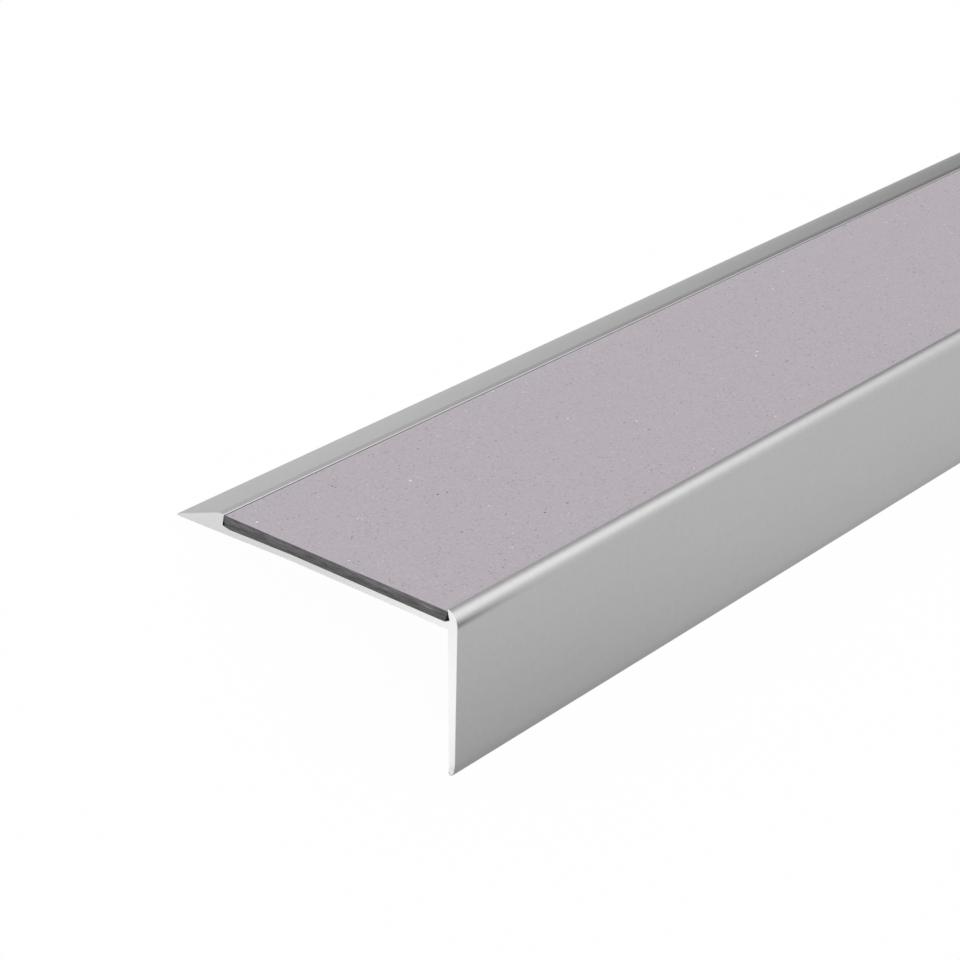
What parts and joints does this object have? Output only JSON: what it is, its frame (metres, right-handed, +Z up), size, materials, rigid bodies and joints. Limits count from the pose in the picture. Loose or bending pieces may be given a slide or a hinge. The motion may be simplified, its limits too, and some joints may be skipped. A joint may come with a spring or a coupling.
{
  "type": "stair nosing",
  "caption": "Aluminium L-section stair nosing with a ramped back edge, a rounded nose and a speckled non-slip strip in its undercut recess, for the front edge of a stair.",
  "frame": {"origin": "on the floor under the middle of the part, as it rests on its toe and on the tip of its ramp", "axes": "+X along the stock, -Y to the riser side, +Z up; the tread slopes down to +Y at 22.73 degrees"},
  "size_m": [0.9, 0.0672, 0.0276],
  "materials": {
    "anodised_aluminium": "satin silver anodised, with fine lines along the extrusion and plain sawn ends",
    "safety_vinyl": "matt mauve-grey vinyl with fine dark and light specks, dark at its sawn ends"
  },
  "bodies": {
    "root": {"nosing_profile": "anodised_aluminium", "tread_insert": "safety_vinyl"}
  },
  "joints": []
}
